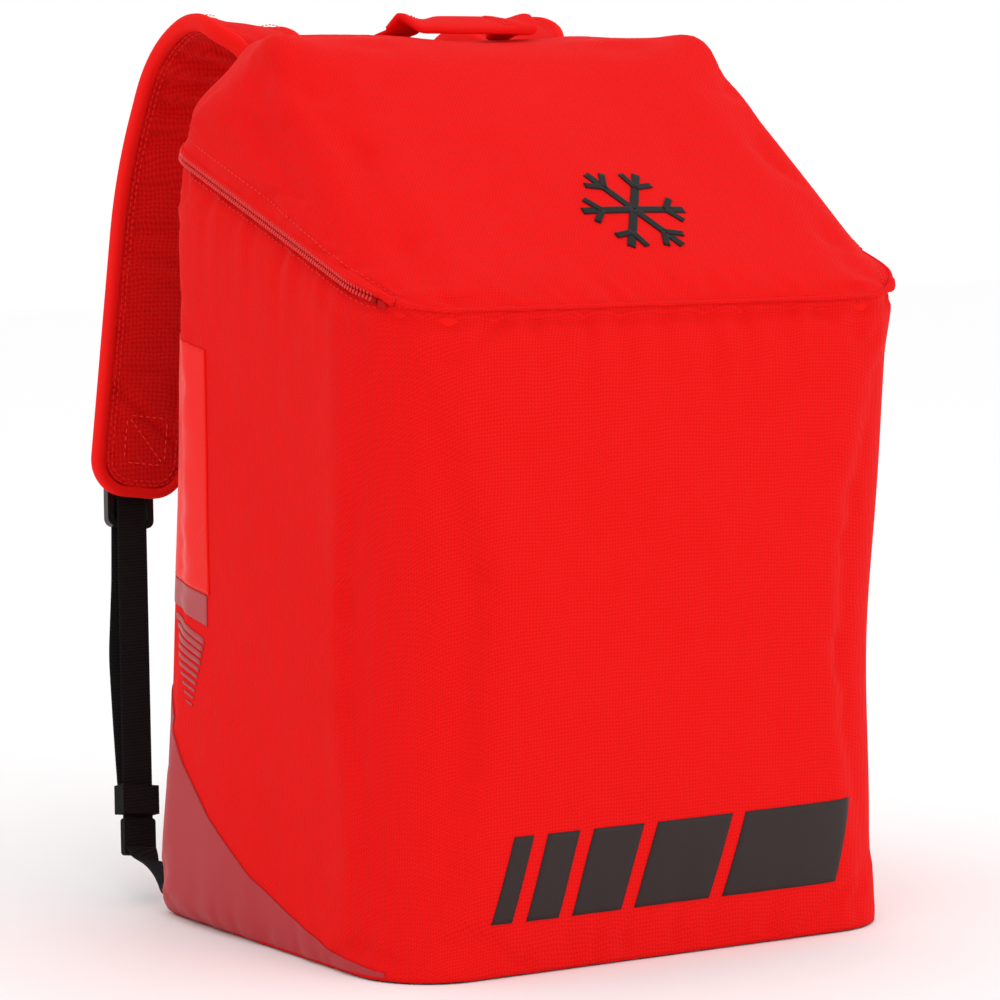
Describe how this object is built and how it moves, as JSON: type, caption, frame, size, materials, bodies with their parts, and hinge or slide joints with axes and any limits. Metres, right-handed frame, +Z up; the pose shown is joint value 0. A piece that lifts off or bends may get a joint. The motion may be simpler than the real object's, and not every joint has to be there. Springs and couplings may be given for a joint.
{
  "type": "ski boot backpack",
  "caption": "Soft box-shaped boot backpack with a wedge lid zipped round the back, a grab handle and two padded shoulder straps on ladder-lock webbing.",
  "frame": {"origin": "centre of the flat underside", "axes": "+Z up, -Y the front face, +Y the side worn against the back, +X to the viewer's right when facing the front"},
  "size_m": [0.3518, 0.3859, 0.5153],
  "materials": {
    "main_cloth": "coarse woven polyester, slightly sheened",
    "coated_cloth": "coated cloth, satin",
    "base_cloth": "coated cloth, dark",
    "stiffener": "plain sheet",
    "back_cloth": "woven polyester",
    "foam": "closed-cell foam in cloth",
    "mesh": "air mesh over foam",
    "film": "glossy laminated film",
    "side_print": "printed ink",
    "dark_print": "printed ink",
    "zip_tape": "knitted tape",
    "zip_coil": "nylon coil, satin",
    "binding": "folded cloth edge",
    "handle_cloth": "folded cloth",
    "zip_metal": "painted, satin",
    "pull": "moulded, matte",
    "strap_cloth": "woven polyester",
    "strap_lining": "brushed mesh lining",
    "buckle": "moulded acetal, satin",
    "webbing": "ribbed polypropylene webbing"
  },
  "bodies": {
    "bag": {"arch_coil_bag": "zip_coil", "arch_tape_bag": "zip_tape", "back_foam": "foam", "back_pad_left": "mesh", "back_pad_right": "mesh", "back_panel": "back_cloth", "base_board": "stiffener", "base_panel": "base_cloth", "front_print": "dark_print", "hinge_seam_binding": "binding", "lower_gusset_left": "coated_cloth", "lower_gusset_right": "coated_cloth", "main_panel": "main_cloth", "side_film_left": "film", "side_film_right": "film", "side_stripes_left": "side_print", "side_stripes_right": "side_print", "strap_anchor_left": "webbing", "strap_anchor_right": "webbing", "strap_root_left": "strap_cloth", "strap_root_right": "strap_cloth", "zip_coil_bag": "zip_coil", "zip_end_tack_left": "zip_tape", "zip_end_tack_right": "zip_tape", "zip_tape_bag": "zip_tape"},
    "lid": {"arch_coil_lid": "zip_coil", "handle_anchor_left": "handle_cloth", "handle_anchor_right": "handle_cloth", "lid_emblem": "dark_print", "lid_foam": "foam", "lid_panel": "main_cloth", "lid_welt": "binding", "zip_coil_lid": "zip_coil", "zip_tape_lid": "zip_tape"},
    "handle": {"grab_handle": "handle_cloth", "handle_grip": "handle_cloth"},
    "slider_left": {"zip_slider_left": "zip_metal"},
    "slider_right": {"zip_slider_right": "zip_metal"},
    "pull_left": {"pull_tab_left": "pull"},
    "pull_right": {"pull_tab_right": "pull"},
    "strap_left": {"strap_shell_left": "strap_cloth", "strap_foam_left": "foam", "strap_lining_left": "strap_lining", "strap_binding_left": "binding", "ladder_lock_left": "buckle", "adjust_webbing_left": "webbing", "lock_loop_left": "webbing", "webbing_keeper_left": "webbing", "webbing_end_left": "webbing", "anchor_webbing_left": "webbing"},
    "strap_right": {"strap_shell_right": "strap_cloth", "strap_foam_right": "foam", "strap_lining_right": "strap_lining", "strap_binding_right": "binding", "ladder_lock_right": "buckle", "adjust_webbing_right": "webbing", "lock_loop_right": "webbing", "webbing_keeper_right": "webbing", "webbing_end_right": "webbing", "anchor_webbing_right": "webbing"}
  },
  "joints": [
    {"name": "lid_hinge", "type": "hinge", "parent": "bag", "child": "lid", "pos_m": [0, -0.1362, 0.356], "axis": [1, 0, 0], "range_deg": [0, 150]},
    {"name": "handle_swing", "type": "hinge", "parent": "lid", "child": "handle", "pos_m": [0, 0.088, 0.503], "axis": [1, 0, 0], "range_deg": [-115, 0]},
    {"name": "slider_left_slide", "type": "slide", "parent": "bag", "child": "slider_left", "axis": [-1, 0, 0], "range_m": [0, 0.045]},
    {"name": "slider_right_slide", "type": "slide", "parent": "bag", "child": "slider_right", "axis": [1, 0, 0], "range_m": [0, 0.045]},
    {"name": "pull_left_flip", "type": "hinge", "parent": "slider_left", "child": "pull_left", "pos_m": [-0.009, 0.10503, 0.489], "axis": [1, 0, 0], "range_deg": [0, 150]},
    {"name": "pull_right_flip", "type": "hinge", "parent": "slider_right", "child": "pull_right", "pos_m": [0.009, 0.10503, 0.489], "axis": [1, 0, 0], "range_deg": [0, 150]},
    {"name": "strap_left_swing", "type": "hinge", "parent": "bag", "child": "strap_left", "pos_m": [-0.1542, 0.1346, 0.014], "axis": [0.1287, -0.0437, 0.9907], "range_deg": [-26, 26]},
    {"name": "strap_right_swing", "type": "hinge", "parent": "bag", "child": "strap_right", "pos_m": [0.1542, 0.1346, 0.014], "axis": [-0.1287, -0.0437, 0.9907], "range_deg": [-26, 26]}
  ]
}
